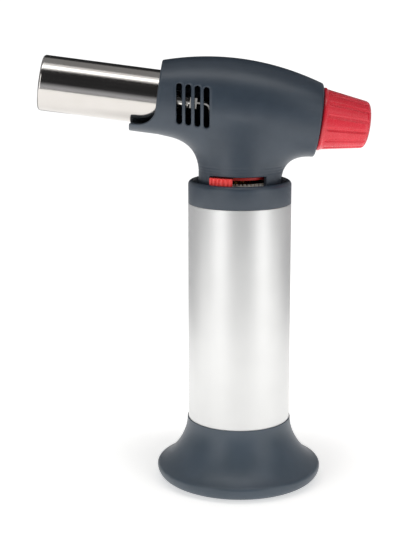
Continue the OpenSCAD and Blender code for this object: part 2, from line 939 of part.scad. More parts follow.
// Ring with a finger tab: it turns the regulator nut through its splined hub
module flow_lever() {
    color(RED)
    difference() {
        union() {
            ring(lever_ring_r, lever_ring_r - lever_ring_w, lever_deck_z, lever_deck_z + lever_deck_h);
            ring(hub_r, nut_r - 0.6, lever_deck_z, lever_deck_z + lever_deck_h);
            for (a = [tab_at, tab_at + 180])
                rotate([0, 0, a - 90])
                    translate([hub_r - 0.8, -2, lever_deck_z])
                        cube([lever_ring_r - hub_r - 0.6, 4, lever_deck_h]);
            sector(tab_r - 0.8, lever_ring_r - 1, lever_deck_z, lever_deck_z + lever_deck_h,
                tab_at - tab_span / 2 + 1, tab_at + tab_span / 2 - 1);
            sector(tab_r - 0.6, neck_r + 0.35, lever_z + 0.1, lever_z + lever_h,
                tab_at - tab_span / 2, tab_at + tab_span / 2);
            for (i = [0:5]) {
                mid = tab_at + (i - 2.5) * tab_span / 6;
                sector(tab_r, neck_r + 0.5, lever_z + 0.2, lever_z + lever_h - 0.1, mid - 1.7, mid + 1.7);
            }
        }
        translate([0, 0, lever_ring_z - past])
            linear_extrude(10)
                gear_outline(nut_r + run_gap);
    }
}

module gear_outline(r) {
    polygon([for (i = [0:4 * nut_teeth - 1])
        let (a = 360 * i / (4 * nut_teeth))
        let (d = (i % 4 < 2) ? r : r - 0.7)
            [d * cos(a), d * sin(a)]]);
}

module regulator_nut() {
    z0 = valve_top + moving_gap;
    color(BRASS)
    difference() {
        union() {
            translate([0, 0, z0])
                linear_extrude(nut_h)
                    gear_outline(nut_r);
            translate([0, 0, z0 + nut_h - 0.5])
                cylinder(r = nut_r - 1.2, h = 1.5, $fn = fine * 2);
        }
        translate([0, 0, z0 - past])
            cylinder(r = stem_r + run_gap, h = 20);
    }
}

// Fixed toothed ring that the lever clicks over
module detent_ring() {
    color(NATURAL)
    difference() {
        union() {
            ring(neck_in - 0.05, neck_in - 2.8, detent_z, detent_z + detent_h);
            for (i = [0:detent_count - 1])
                rotate([0, 0, -90 + slot_start + 3 + i * detent_pitch])
                    translate([neck_in - 2.6, -0.5, detent_z])
                        cube([2.3, 1, detent_h + detent_tooth]);
        }
        translate([0, 0, detent_z - past])
            cylinder(r = neck_in - 2.8, h = 10);
    }
}

// ---- Knob and igniter ----

module ignition_knob() {
    gap = 0.4;
    rim = 1.3;
    tip_round = 3;
    wall_top = knob_len - tip_round;
    color(RED)
    on_burner(-head_rear - gap)
        rotate([180, 0, 0])
            difference() {
                rotate_extrude()
                    polygon(concat(
                        [[0, 0], [knob_base_r - 0.4, 0], [knob_base_r, 0.4], [knob_base_r, rim],
                            [knob_base_r - 0.5, rim + 0.4]],
                        bezier_run([[knob_tip_r, wall_top], [knob_tip_r - 0.5, wall_top + 1.9],
                            [knob_tip_r - 2.6, knob_len - 0.5], [0, knob_len]], 10)));
                flutes(rim, wall_top);
                translate([0, 0, -past])
                    cylinder(r = knob_base_r - 3, h = past + 3.2);
                translate([0, 0, -past])
                    drive(screw_gap, drive_len + 3);
            }
}

// Shallow grooves along the knob's taper
module flutes(z0, z1) {
    r0 = knob_base_r - 0.5;
    lean = atan((r0 - knob_tip_r) / (z1 - z0));
    for (i = [0:flute_count - 1])
        rotate([0, 0, 360 * i / flute_count])
            translate([r0 + flute_r - flute_depth, 0, z0 + 1.2])
                rotate([0, -lean, 0])
                    cylinder(r = flute_r, h = z1 - z0 + 4, $fn = fine);
}

// Flatted shaft that carries the knob
module drive(gap, len) {
    intersection() {
        cylinder(r = drive_r + gap, h = len);
        translate([-drive_r - 1, -drive_flat - gap, 0])
            cube([2 * drive_r + 2, 2 * drive_flat + 2 * gap, len]);
    }
}

// Helical face that pushes the plunger forward as the sleeve turns
function ramp_at(a) =
    let (m = a - 180 * floor((a - 82) / 180))
        m <= 188 + knob_turn - 90 ? ramp_slope * (m - 90) :
            mix(ramp_slope * (98 + knob_turn - 90), ramp_slope * -8,
                (m - 98 - knob_turn) / (164 - knob_turn));

module ramp_ring() {
    steps = 60;
    base = cam_back;
    top = lug_at - lug_r / cos(atan(ramp_slope * 180 / PI / 5.4)) - ramp_gap;
    pts = [for (i = [0:steps - 1])
        let (a = 360 * i / steps)
            for (c = [[ramp_in, base], [cam_in + 0.7, base], [cam_in + 0.7, top + ramp_at(a)],
                [ramp_in, top + ramp_at(a)]])
                [c[0] * cos(a), c[0] * sin(a), c[1]]];
    faces = [for (i = [0:steps - 1], k = [0:3])
        let (j = (i + 1) % steps)
        let (m = (k + 1) % 4)
            [[4 * i + k, 4 * j + m, 4 * j + k], [4 * i + k, 4 * i + m, 4 * j + m]]];
    polyhedron(points = pts, faces = [for (w = faces, f = w) f], convexity = 6);
}

// Spiral rim that pushes the valve stem down as the sleeve turns
module spiral_rim() {
    grow = valve_travel / knob_turn;
    linear_extrude(spiral_w)
        polygon([for (a = [165:5:520])
            let (lift = a < 210 + knob_turn ? grow * (a - 180) :
                mix(grow * (30 + knob_turn), grow * -15, (a - 210 - knob_turn) / (315 - knob_turn)))
                [(spiral_r + lift) * cos(a), (spiral_r + lift) * sin(a)]]);
}

module cam_sleeve() {
    color(NATURAL)
    on_burner()
        difference() {
            union() {
                translate([0, 0, cam_back - cam_floor])
                    cylinder(r = cam_r, h = cam_front - cam_back + cam_floor);
                translate([0, 0, cam_front - spiral_w])
                    spiral_rim();
                translate([0, 0, cam_back - cam_floor - drive_len])
                    drive(0, drive_len + 0.5);
            }
            difference() {
                translate([0, 0, cam_back])
                    cylinder(r = cam_in, h = 60);
                ramp_ring();
            }
        }
}

// Bearing ring that carries the cam sleeve in the head's rear wall
module knob_bush() {
    color(NATURAL)
    on_burner()
        difference() {
            union() {
                translate([0, 0, -head_rear])
                    cylinder(r = bush_r, h = bush_len);
                translate([0, 0, -head_rear + rear_wall + 0.05])
                    cylinder(r = bush_flange_r, h = bush_flange_t);
            }
            translate([0, 0, -head_rear - past])
                cylinder(r = cam_r + run_gap, h = 20);
        }
}

module piezo_body() {
    color(RUBBER)
    on_burner()
        difference() {
            union() {
                translate([0, 0, piezo_back])
                    cylinder(r = piezo_r, h = piezo_front - piezo_back);
                translate([0, 0, piezo_front - piezo_flange_t - 1.4])
                    cylinder(r = piezo_flange_r, h = piezo_flange_t);
            }
            translate([0, 0, piezo_back - past])
                cylinder(r = plunger_r + run_gap, h = piezo_bore_front - piezo_back + past);
        }
}

module piezo_plunger() {
    color(NATURAL)
    on_burner()
        union() {
            translate([0, 0, plunger_back])
                cylinder(r = plunger_r, h = plunger_front - plunger_back);
            translate([0, 0, lug_at])
                rotate([90, 0, 0])
                    cylinder(r = lug_r, h = 2 * lug_reach, center = true, $fn = fine);
        }
}

module piezo_spring() {
    color(STEEL)
    on_burner(plunger_front)
        coil(3.4, 0.35, 0.05, piezo_bore_front - plunger_front - 0.05, 4);
}

// Lead from the igniter to the electrode, beside the jet
module ignition_wire() {
    lead = [[2.5, piezo_front + 0.05], [2.5, piezo_front + 4], [spark_w, insulator_start - 6],
        [spark_w, insulator_start - 0.4]];
    up = [sin(tilt), 0, cos(tilt)];
    route = [for (i = [0:3])
        [0, i < 2 ? spark_y + 1.8 : i == 2 ? spark_y + 1.8 : spark_y, axis_z]
            + lead[i][0] * up + lead[i][1] * axis_dir];
    color(RUBBER)
    sweep(soften(route, 2), wire_r, [0, 1, 0]);
}

module electrode_insulator() {
    color(ALU)
    on_burner(insulator_start)
        insulator_place()
            ring(insulator_r, electrode_r + 0.03, 0, insulator_len);
}

module electrode() {
    color(STEEL)
    on_burner(insulator_start + 0.5)
        insulator_place()
            cylinder(r = electrode_r, h = electrode_len, $fn = fine);
}

foot_shell();
foot_plate();
foot_ring();
foot_screws();
fuel_sleeve();
fuel_tank();
tank_cap();
tank_seal();
fuel_wick();
refill_valve();
refill_seal();
refill_stem();
refill_spring();
collar();
head_shell_near();
head_shell_far();
head_screws();
burner_tube();
tube_retainer();
mixing_tube();
flame_holder();
gas_jet();
gas_pipe();
valve_body();
valve_seal();
valve_stem();
valve_spring();
flow_lever();
regulator_nut();
detent_ring();
ignition_knob();
cam_sleeve();
knob_bush();
piezo_body();
piezo_plunger();
piezo_spring();
ignition_wire();
electrode();
electrode_insulator();
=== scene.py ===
"""Table-top butane torch: the visible surfaces, their finishes, and a plain studio round them.

Lengths in the classes are millimetres and angles degrees; meshes are made in metres, in the
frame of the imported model: origin under the middle of the foot, Z up, flame towards -X.
"""

import logging
import math
from dataclasses import dataclass, field
from enum import Enum
from typing import Any, Callable, Sequence

import bmesh
import bpy
import numpy as np
from mathutils import Euler, Matrix, Vector


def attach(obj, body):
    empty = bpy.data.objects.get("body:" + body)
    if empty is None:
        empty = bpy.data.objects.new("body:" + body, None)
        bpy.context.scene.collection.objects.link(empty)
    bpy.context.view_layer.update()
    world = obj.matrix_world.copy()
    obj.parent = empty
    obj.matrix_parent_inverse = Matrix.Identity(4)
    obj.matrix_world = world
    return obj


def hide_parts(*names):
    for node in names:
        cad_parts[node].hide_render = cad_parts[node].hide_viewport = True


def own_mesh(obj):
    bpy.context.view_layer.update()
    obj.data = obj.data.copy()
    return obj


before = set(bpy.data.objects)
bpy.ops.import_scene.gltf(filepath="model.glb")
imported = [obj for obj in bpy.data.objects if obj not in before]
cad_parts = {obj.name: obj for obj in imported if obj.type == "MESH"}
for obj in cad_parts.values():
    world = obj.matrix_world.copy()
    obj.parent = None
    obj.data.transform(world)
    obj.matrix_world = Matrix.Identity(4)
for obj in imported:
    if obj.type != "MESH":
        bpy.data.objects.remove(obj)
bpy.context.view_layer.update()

log = logging.getLogger("torch")
MM = 0.001
# Shapes are refined this many times, by slopes taken over this many millimetres.
REFINE, NUDGE = 4, 0.02
Field = Callable[[np.ndarray], np.ndarray]
Profile = Sequence[tuple[float, float]]


# ---------------------------------------------------------------- shapes


def arc(centre: tuple[float, float], size: tuple[float, float], start: float, end: float,
        count: int) -> list[tuple[float, float]]:
    """Points of an elliptical arc.

    Args:
        centre: centre of the ellipse.
        size: its two half axes.
        start: first angle in degrees.
        end: last angle in degrees.
        count: number of steps.

    Returns:
        count + 1 points, both ends included.
    """
    angles = [math.radians(start + (end - start) * i / count) for i in range(count + 1)]
    return [(centre[0] + size[0] * math.cos(a), centre[1] + size[1] * math.sin(a))
            for a in angles]


def bezier(ends: Sequence[tuple[float, float]], count: int) -> list[tuple[float, float]]:
    """Points of a cubic curve, without its first one.

    Args:
        ends: the four control points.
        count: number of steps.

    Returns:
        count points, the last of them the curve's end.
    """
    run = []
    for i in range(1, count + 1):
        t = i / count
        weights = ((1 - t) ** 3, 3 * t * (1 - t) ** 2, 3 * t * t * (1 - t), t ** 3)
        run.append(tuple(sum(w * p[k] for w, p in zip(weights, ends)) for k in (0, 1)))
    return run


def rounded(points: Profile, radius: float, steps: int = 4) -> list[tuple[float, float]]:
    """A closed profile with each corner sharper than 35 degrees rounded off.

    Args:
        points: corners in order.
        radius: how far along each side the round starts.
        steps: steps in each round.

    Returns:
        The softened closed profile.
    """
    soft: list[tuple[float, float]] = []
    for i, here in enumerate(points):
        corner = Vector(here)
        back, ahead = Vector(points[i - 1]) - corner, Vector(points[(i + 1) % len(points)]) - corner
        if min(back.length, ahead.length) < 1e-6 or back.angle(ahead) > math.radians(145):
            soft.append(tuple(here))
            continue
        first = corner + back.normalized() * min(radius, back.length * 0.4)
        last = corner + ahead.normalized() * min(radius, ahead.length * 0.4)
        for k in range(steps + 1):
            t = k / steps
            soft.append(tuple(first * (1 - t) ** 2 + corner * 2 * t * (1 - t) + last * t * t))
    return soft


def in_both(a: np.ndarray, b: np.ndarray, radius: float) -> np.ndarray:
    """Distance to what two solids share, with the edge between them rounded.

    Args:
        a: distance to the first solid.
        b: distance to the second.
        radius: radius of the rounded edge.

    Returns:
        The combined distance.
    """
    return (np.minimum(np.maximum(a, b), -radius)
            + np.hypot(np.maximum(a + radius, 0), np.maximum(b + radius, 0)))


def between(x: np.ndarray, ends: Sequence[float]) -> np.ndarray:
    """Distance to the slab between two values, below zero inside it.

    Args:
        x: the coordinates.
        ends: lower and upper value.

    Returns:
        One distance for each coordinate.
    """
    return np.abs(x - (ends[0] + ends[1]) / 2) - (ends[1] - ends[0]) / 2


def bevelled(a: np.ndarray, b: np.ndarray, size: float, slope: float = 32) -> np.ndarray:
    """Distance to what two solids share, with a shallow bevel on the edge between them.

    Args:
        a: distance to the face that the bevel leans towards.
        b: distance to the other face.
        size: depth of the bevel under the edge.
        slope: its angle from the first face in degrees.

    Returns:
        The combined distance.
    """
    lean = math.radians(slope)
    cut = a * math.cos(lean) + b * math.sin(lean) + size
    return in_both(in_both(a, b, 0.05), cut, 0.06)


def in_either(a: np.ndarray, b: np.ndarray, radius: float) -> np.ndarray:
    """Distance to two solids together, with the inner corner between them filled.

    Args:
        a: distance to the first solid.
        b: distance to the second.
        radius: radius of the fillet.

    Returns:
        The combined distance.
    """
    return -in_both(-a, -b, radius)


def profile_distance(x: np.ndarray, y: np.ndarray, outline: Profile) -> np.ndarray:
    """Signed distance to a closed outline, below zero inside.

    Args:
        x: first coordinates.
        y: second coordinates.
        outline: corners in order.

    Returns:
        One distance for each point.
    """
    nearest = np.full(x.shape, 1e9)
    inside = np.zeros(x.shape, bool)
    for i, (x1, y1) in enumerate(outline):
        x0, y0 = outline[i - 1]
        dx, dy = x1 - x0, y1 - y0
        if dx * dx + dy * dy < 1e-12:
            continue
        t = np.clip(((x - x0) * dx + (y - y0) * dy) / (dx * dx + dy * dy), 0, 1)
        nearest = np.minimum(nearest, np.hypot(x - x0 - t * dx, y - y0 - t * dy))
        if dy:
            crossing = ((y0 > y) != (y1 > y)) & (x < dx * (y - y0) / dy + x0)
            inside ^= crossing
    return np.where(inside, -nearest, nearest)


def new_object(name: str, vertices: np.ndarray, faces: np.ndarray, sharp: float) -> Any:
    """A mesh object from millimetre points, smooth apart from its sharp edges.

    Args:
        name: name of the piece.
        vertices: points in millimetres.
        faces: corner numbers, four to a face.
        sharp: edges folded by more than this many degrees stay crisp.

    Returns:
        The object, linked to the scene.
    """
    mesh = bpy.data.meshes.new(name)
    mesh.from_pydata((vertices * MM).tolist(), [], faces.tolist())
    shape = bmesh.new()
    shape.from_mesh(mesh)
    bmesh.ops.recalc_face_normals(shape, faces=shape.faces)
    for face in shape.faces:
        face.smooth = True
    for edge in shape.edges:
        edge.smooth = len(edge.link_faces) != 2 or edge.calc_face_angle(0) < math.radians(sharp)
    shape.to_mesh(mesh)
    shape.free()
    piece = bpy.data.objects.new(name, mesh)
    bpy.context.scene.collection.objects.link(piece)
    return piece


def revolve(name: str, outline: Profile, place: Matrix = Matrix(), sides: int = 192,
            sharp: float = 38) -> Any:
    """A turned piece.

    Args:
        name: name of the piece.
        outline: closed profile of (radius, height) corners.
        place: where its axis is, in millimetres.
        sides: flats round the axis.
        sharp: crisp edge angle in degrees.

    Returns:
        The object.
    """
    points = np.array(outline, float)
    turn = np.linspace(0, 2 * math.pi, sides, endpoint=False)
    grid = np.empty((sides, len(points), 3))
    grid[..., 0] = np.cos(turn)[:, None] * points[:, 0]
    grid[..., 1] = np.sin(turn)[:, None] * points[:, 0]
    grid[..., 2] = points[:, 1]
    index = np.arange(sides * len(points)).reshape(sides, len(points))
    right, up = np.roll(index, -1, 0), np.roll(index, -1, 1)
    faces = np.stack([index, right, np.roll(right, -1, 1), up], -1).reshape(-1, 4)
    flat = grid.reshape(-1, 3) @ np.array(place.to_3x3()).T + np.array(place.translation)
    return new_object(name, flat, faces, sharp)


def skin_of(name: str, solid: Field, low: Sequence[float], high: Sequence[float],
            step: float, sharp: float = 60) -> Any:
    """The skin of a solid given by its distance field, on a grid of nearly square faces.

    Args:
        name: name of the piece.
        solid: signed distance in millimetres of an array of points.
        low: lowest corner of the box searched.
        high: highest corner of the box searched.
        step: grid spacing.
        sharp: crisp edge angle in degrees.

    Returns:
        The object.
    """
    axes = [np.arange(a - step, b + 2 * step, step) for a, b in zip(low, high)]
    grid = np.stack(np.meshgrid(*axes, indexing="ij"), -1)
    value = np.empty(grid.shape[:3])
    for i in range(grid.shape[0]):
        value[i] = solid(grid[i].reshape(-1, 3)).reshape(grid.shape[1:3])
    inside = value < 0
    corners = [(i, j, k) for i in (0, 1) for j in (0, 1) for k in (0, 1)]
    spans = tuple(n - 1 for n in value.shape)

    def corner_of(data: np.ndarray, c: tuple[int, int, int]) -> np.ndarray:
        """The data at one corner of every cell.

        Args:
            data: one value for each grid point.
            c: which corner, as zeros and ones.

        Returns:
            One value for each cell.
        """
        return data[c[0]:c[0] + spans[0], c[1]:c[1] + spans[1], c[2]:c[2] + spans[2]]

    held = sum(corner_of(inside, c).astype(np.int8) for c in corners)
    cells = np.argwhere((held > 0) & (held < 8))
    number = np.full(spans, -1)
    number[tuple(cells.T)] = np.arange(len(cells))
    total, count = np.zeros((len(cells), 3)), np.zeros(len(cells))
    for a in corners:
        for way in range(3):
            if a[way]:
                continue
            b = tuple(1 if i == way else a[i] for i in range(3))
            va, vb = value[tuple((cells + a).T)], value[tuple((cells + b).T)]
            cut = (va < 0) != (vb < 0)
            t = np.where(cut, va / np.where(cut, va - vb, 1), 0)
            point = np.tile(np.array(a, float), (len(cells), 1))
            point[:, way] = t
            total += point * cut[:, None]
            count += cut
    points = np.array([axis[0] for axis in axes]) + (cells + total / count[:, None]) * step
    for _ in range(REFINE):
        here = solid(points)
        slope = np.stack([solid(points + d) - solid(points - d)
                          for d in np.eye(3) * NUDGE], -1) / (2 * NUDGE)
        size = np.maximum((slope ** 2).sum(-1), 0.3)
        points -= np.clip(here / size, -0.3 * step, 0.3 * step)[:, None] * slope
    quads = []
    for way in range(3):
        one, two = (way + 1) % 3, (way + 2) % 3
        first, second = [slice(None)] * 3, [slice(None)] * 3
        first[way], second[way] = slice(None, -1), slice(1, None)
        starts, ends = inside[tuple(first)], inside[tuple(second)]
        edges = np.argwhere(starts != ends)
        edges = edges[(edges[:, one] > 0) & (edges[:, two] > 0)
                      & (edges[:, one] < spans[one]) & (edges[:, two] < spans[two])]
        ring = []
        for da, db in ((1, 1), (0, 1), (0, 0), (1, 0)):
            cell = edges.copy()
            cell[:, one] -= da
            cell[:, two] -= db
            ring.append(number[tuple(cell.T)])
        quads.append(np.stack(ring, -1))
    return new_object(name, points, np.concatenate(quads), sharp)


# ---------------------------------------------------------------- finishes


def linear(shade: str) -> tuple[float, float, float, float]:
    """A linear colour from its sRGB hex value.

    Args:
        shade: the hex value.

    Returns:
        Red, green, blue and a full alpha.
    """
    parts = [int(shade.lstrip("#")[i:i + 2], 16) / 255 for i in (0, 2, 4)]
    return (*(c / 12.92 if c <= 0.04045 else ((c + 0.055) / 1.055) ** 2.4 for c in parts), 1.0)


def add_node(tree: Any, kind: str, settings: dict[Any, Any] | None = None,
             links: dict[Any, Any] | None = None, **options: Any) -> Any:
    """Adds a node with its settings and links.

    Args:
        tree: node tree to add it to.
        kind: the node's type.
        settings: input socket to value.
        links: input socket to the output socket that feeds it.
        options: the node's own properties.

    Returns:
        The node.
    """
    node = tree.nodes.new(kind)
    for option, value in options.items():
        setattr(node, option, value)
    for socket, value in (settings or {}).items():
        node.inputs[socket].default_value = value
    for socket, source in (links or {}).items():
        tree.links.new(source, node.inputs[socket])
    return node


class Relief(Enum):
    """How a surface was made, which gives its fine relief."""

    SPARKED = "texture of a spark-eroded mould"
    BLASTED = "bead-blasted before anodising"
    TURNED = "tool marks round the axis"
    DRAWN = "die lines along the axis"
    FIBROUS = "pressed fibres"
    CAST = "as moulded, slightly uneven"


class Lie(Enum):
    """The axis that tool marks and die lines follow, as a turn about Y in degrees."""

    UPRIGHT = 0.0
    BURNER = 82.5


@dataclass(frozen=True)
class Finish:
    """One material and how its surface was made."""

    name: str
    shade: str
    shade_2: str
    roughness: float
    metallic: float = 0.0
    ior: float = 1.5
    relief: Relief = Relief.CAST
    lie: Lie = Lie.UPRIGHT
    grain: float = 0.5
    depth: float = 0.01
    mottle: float = 12.0
    swing: float = 0.05
    subsurface: float = 0.0

    def stretch(self) -> tuple[float, float, float]:
        """How the grain is stretched along and across the axis that it follows.

        Returns:
            The scale on each axis.
        """
        if self.relief is Relief.TURNED:
            return (0.03, 0.03, 1.0)
        if self.relief is Relief.DRAWN:
            return (1.0, 1.0, 0.012)
        return (1.0, 1.0, 1.0)

    def make(self) -> Any:
        """Builds the material once and gives it from then on.

        Returns:
            The material.
        """
        known = bpy.data.materials.get(self.name)
        if known:
            return known
        material = bpy.data.materials.new(self.name)
        material.use_nodes = True
        material.diffuse_color = linear(self.shade)
        tree = material.node_tree
        tree.nodes.clear()
        place = add_node(tree, "ShaderNodeTexCoord")
        turned = add_node(tree, "ShaderNodeMapping",
                          {"Rotation": (0.0, math.radians(self.lie.value), 0.0)},
                          {"Vector": place.outputs["Object"]})
        drawn = add_node(tree, "ShaderNodeMapping", {"Scale": self.stretch()},
                         {"Vector": turned.outputs[0]})
        grain = add_node(tree, "ShaderNodeTexNoise",
                         {"Scale": 1 / (self.grain * MM), "Detail": 3.0, "Roughness": 0.6},
                         {"Vector": drawn.outputs[0]})
        cloud = add_node(tree, "ShaderNodeTexNoise",
                         {"Scale": 1 / (self.mottle * MM), "Detail": 2.0, "Roughness": 0.5},
                         {"Vector": place.outputs["Object"]})
        share = add_node(tree, "ShaderNodeMapRange",
                         {"From Min": 0.36, "From Max": 0.64}, {"Value": cloud.outputs[0]})
        colour = add_node(tree, "ShaderNodeMix",
                          {6: linear(self.shade), 7: linear(self.shade_2)},
                          {0: share.outputs[0]}, data_type="RGBA")
        gloss = add_node(tree, "ShaderNodeMapRange",
                         {"From Min": 0.3, "From Max": 0.7,
                          "To Min": self.roughness - self.swing,
                          "To Max": self.roughness + self.swing},
                         {"Value": grain.outputs[0]})
        bump = add_node(tree, "ShaderNodeBump",
                        {"Strength": 1.0, "Distance": self.depth * MM},
                        {"Height": grain.outputs[0]})
        shader = add_node(tree, "ShaderNodeBsdfPrincipled",
                          {"Metallic": self.metallic, "IOR": self.ior,
                           "Subsurface Weight": self.subsurface,
                           "Subsurface Radius": (1.0, 0.9, 0.7), "Subsurface Scale": 0.001},
                          {"Base Color": colour.outputs[2], "Roughness": gloss.outputs[0],
                           "Normal": bump.outputs[0]})
        add_node(tree, "ShaderNodeOutputMaterial", {}, {"Surface": shader.outputs[0]})
        return material

    def put_on(self, *pieces: Any) -> None:
        """Gives pieces this finish and nothing else.

        Args:
            pieces: mesh objects.
        """
        material = self.make()
        for piece in pieces:
            if not piece.material_slots:
                piece.data.materials.append(material)
            for slot in piece.material_slots:
                slot.material = material


# Moulded ABS with a fine spark-eroded texture: matt slate, a soft sheen on the rounds.
SLATE_ABS = Finish("moulded_slate_abs", "#323D49", "#37424E", 0.40, ior=1.53,
                   relief=Relief.SPARKED, grain=0.32, depth=0.018, mottle=9.0, swing=0.06)
# The same ABS on the foot, in a lighter shade than on the head: the foot's extra lightness is
# painted light. It has a roughness of its own.
FOOT_ABS = Finish("moulded_foot_abs", "#434F5A", "#495561", 0.42, ior=1.53,
                  relief=Relief.SPARKED, grain=0.32, depth=0.016, mottle=14.0, swing=0.06)
# Bead-blasted, clear anodised aluminium: silky pale grey that spreads each light widely.
SLEEVE_ALU = Finish("anodised_aluminium_sleeve", "#DEDEDD", "#E4E4E3", 0.43, metallic=0.86,
                    relief=Relief.BLASTED, grain=0.25, depth=0.004, mottle=30.0, swing=0.03)
# Buffed stainless steel tube: near mirror, warm, with hair lines left by the buff.
TUBE_STEEL = Finish("buffed_stainless_tube", "#C6C2BD", "#CBC7C3", 0.15, metallic=1.0,
                    relief=Relief.DRAWN, lie=Lie.BURNER, grain=0.5, depth=0.0012, mottle=20.0,
                    swing=0.035)
# Stainless steel inside the flame's reach: straw tinted and duller from heat.
HEAT_STEEL = Finish("heat_tinted_stainless", "#A89A85", "#8C8078", 0.34, metallic=1.0,
                    relief=Relief.TURNED, lie=Lie.BURNER, grain=0.3, depth=0.006, mottle=5.0)
# Turned brass: yellow metal with bright fine rings.
VALVE_BRASS = Finish("turned_valve_brass", "#CFA865", "#C39A55", 0.24, metallic=1.0,
                     relief=Relief.TURNED, grain=0.25, depth=0.006, mottle=6.0)
# Moulded red ABS, satin: strong red with a soft broad shine.
KNOB_ABS = Finish("moulded_red_abs", "#DC2536", "#E32B3D", 0.26, ior=1.53,
                  relief=Relief.SPARKED, lie=Lie.BURNER, grain=0.3, depth=0.010, mottle=8.0,
                  swing=0.05)
# Red acetal: slightly brighter and slicker than the knob.
LEVER_ACETAL = Finish("moulded_red_acetal", "#FF4440", "#FF4C48", 0.36, ior=1.48,
                      relief=Relief.CAST, grain=0.6, depth=0.006, mottle=6.0,
                      subsurface=0.06)
# Natural acetal: milky white, waxy.
NATURAL_ACETAL = Finish("moulded_natural_acetal", "#DCD9CF", "#D5D2C6", 0.38, ior=1.48,
                        relief=Relief.CAST, grain=0.8, depth=0.008, mottle=7.0,
                        subsurface=0.12)
# Glass-filled black PBT: grey-black with faint flow marks.
BLACK_PBT = Finish("moulded_black_pbt", "#1B1C1E", "#232427", 0.45, ior=1.55,
                   relief=Relief.CAST, grain=0.5, depth=0.012, mottle=5.0)
# Moulded nitrile rubber: dull near-black, slightly dusty.
RUBBER = Finish("moulded_nitrile_rubber", "#1D1D1F", "#262628", 0.72, ior=1.52,
                relief=Relief.SPARKED, grain=0.4, depth=0.02, mottle=6.0)
# Needled polyester felt: off-white, with loose fibres.
WICK_FELT = Finish("needled_wick_felt", "#D9D3C4", "#C9C2B0", 0.95, ior=1.45,
                   relief=Relief.FIBROUS, grain=0.22, depth=0.12, mottle=2.0)
# Extruded alumina: white, matt, faintly grainy.
ALUMINA = Finish("sintered_alumina", "#E9E6DE", "#F0EDE6", 0.55, ior=1.76,
                 relief=Relief.CAST, grain=0.15, depth=0.01, mottle=3.0)
# Bright zinc-plated screw steel: cool grey, with wire-drawing lines.
ZINC_STEEL = Finish("zinc_plated_steel", "#B9BDC2", "#A9ADB4", 0.3, metallic=1.0,
                    relief=Relief.TURNED, grain=0.2, depth=0.006, mottle=2.0)
# Nickel-plated brass of the jet and pipe: bright, slightly warm, near mirror.
NICKEL = Finish("nickel_plated_brass", "#D9D6D0", "#CFCBC4", 0.12, metallic=1.0,
                relief=Relief.TURNED, lie=Lie.BURNER, grain=0.3, depth=0.004, mottle=3.0,
                swing=0.03)
# Hard-drawn spring steel: darker grey, oiled.
SPRING_STEEL = Finish("drawn_spring_steel", "#8F9297", "#7F8388", 0.28, metallic=1.0,
                      relief=Relief.DRAWN, grain=0.2, depth=0.004, mottle=3.0)
# Silicone-covered igniter lead: soft black.
LEAD_SILICONE = Finish("extruded_silicone_lead", "#1E1E20", "#27272A", 0.5, ior=1.43,
                       relief=Relief.CAST, grain=0.6, depth=0.008, mottle=4.0)


def show(piece: Any, body: str, slot: str, finish: Finish, *nodes: str) -> Any:
    """Finishes a piece, lets it ride on its body and stand for CAD nodes.

    Args:
        piece: the object.
        body: name of the body it moves with.
        slot: name of a material slot; not used.
        finish: its finish.
        nodes: CAD nodes that it stands for.

    Returns:
        The piece.
    """
    finish.put_on(piece)
    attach(piece, body)
    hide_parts(*nodes)
    log.info("%s on %s: %d faces, %s", piece.name, body, len(piece.data.polygons), finish.name)
    return piece


def dress_nodes(finish: Finish, *names: str) -> None:
    """Gives carried-over nodes a finish.

    Args:
        finish: the finish.
        names: node names.
    """
    for name in names:
        finish.put_on(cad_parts[name])
        log.info("%s kept, %s", name, finish.name)


def return_spring(name: str, axis: Sequence[float]) -> None:
    """A copy of a coil spring's CAD mesh, finished and fixed to the root in place of its node.

    Args:
        name: CAD node of the spring.
        axis: direction of the coil; not used.
    """
    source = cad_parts[name]
    mesh = source.data.copy()
    mesh.transform(source.matrix_world)
    mesh.materials.clear()
    coil = bpy.data.objects.new(name + "_coil", mesh)
    bpy.context.scene.collection.objects.link(coil)
    show(coil, "root", "inner_steel", SPRING_STEEL, name)
    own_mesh(coil)


# ---------------------------------------------------------------- sub-assemblies


@dataclass
class Axis:
    """The burner's axis: tilted up towards the flame."""

    height: float = 161.7
    tilt: float = 7.5

    def along(self, p: np.ndarray) -> tuple[np.ndarray, np.ndarray]:
        """Distance of points along the axis towards the flame, and above it.

        Args:
            p: points, one to a row.

        Returns:
            The two coordinates, u and w.
        """
        s, c = math.sin(math.radians(self.tilt)), math.cos(math.radians(self.tilt))
        rise = p[:, 2] - self.height
        return -p[:, 0] * c + rise * s, p[:, 0] * s + rise * c

    def place(self, start: float = 0.0) -> Matrix:
        """Where a piece turned about this axis goes.

        Args:
            start: distance of its zero along the axis.

        Returns:
            The place, in millimetres.
        """
        turn = Euler((0, math.radians(self.tilt - 90), 0)).to_matrix().to_4x4()
        return (Matrix.Translation((0, 0, self.height)) @ turn
                @ Matrix.Translation((0, 0, start)))

    def forward(self) -> tuple[float, float, float]:
        """Direction of the axis towards the flame.

        Returns:
            The direction, of length 1.
        """
        return (-math.cos(math.radians(self.tilt)), 0.0, math.sin(math.radians(self.tilt)))


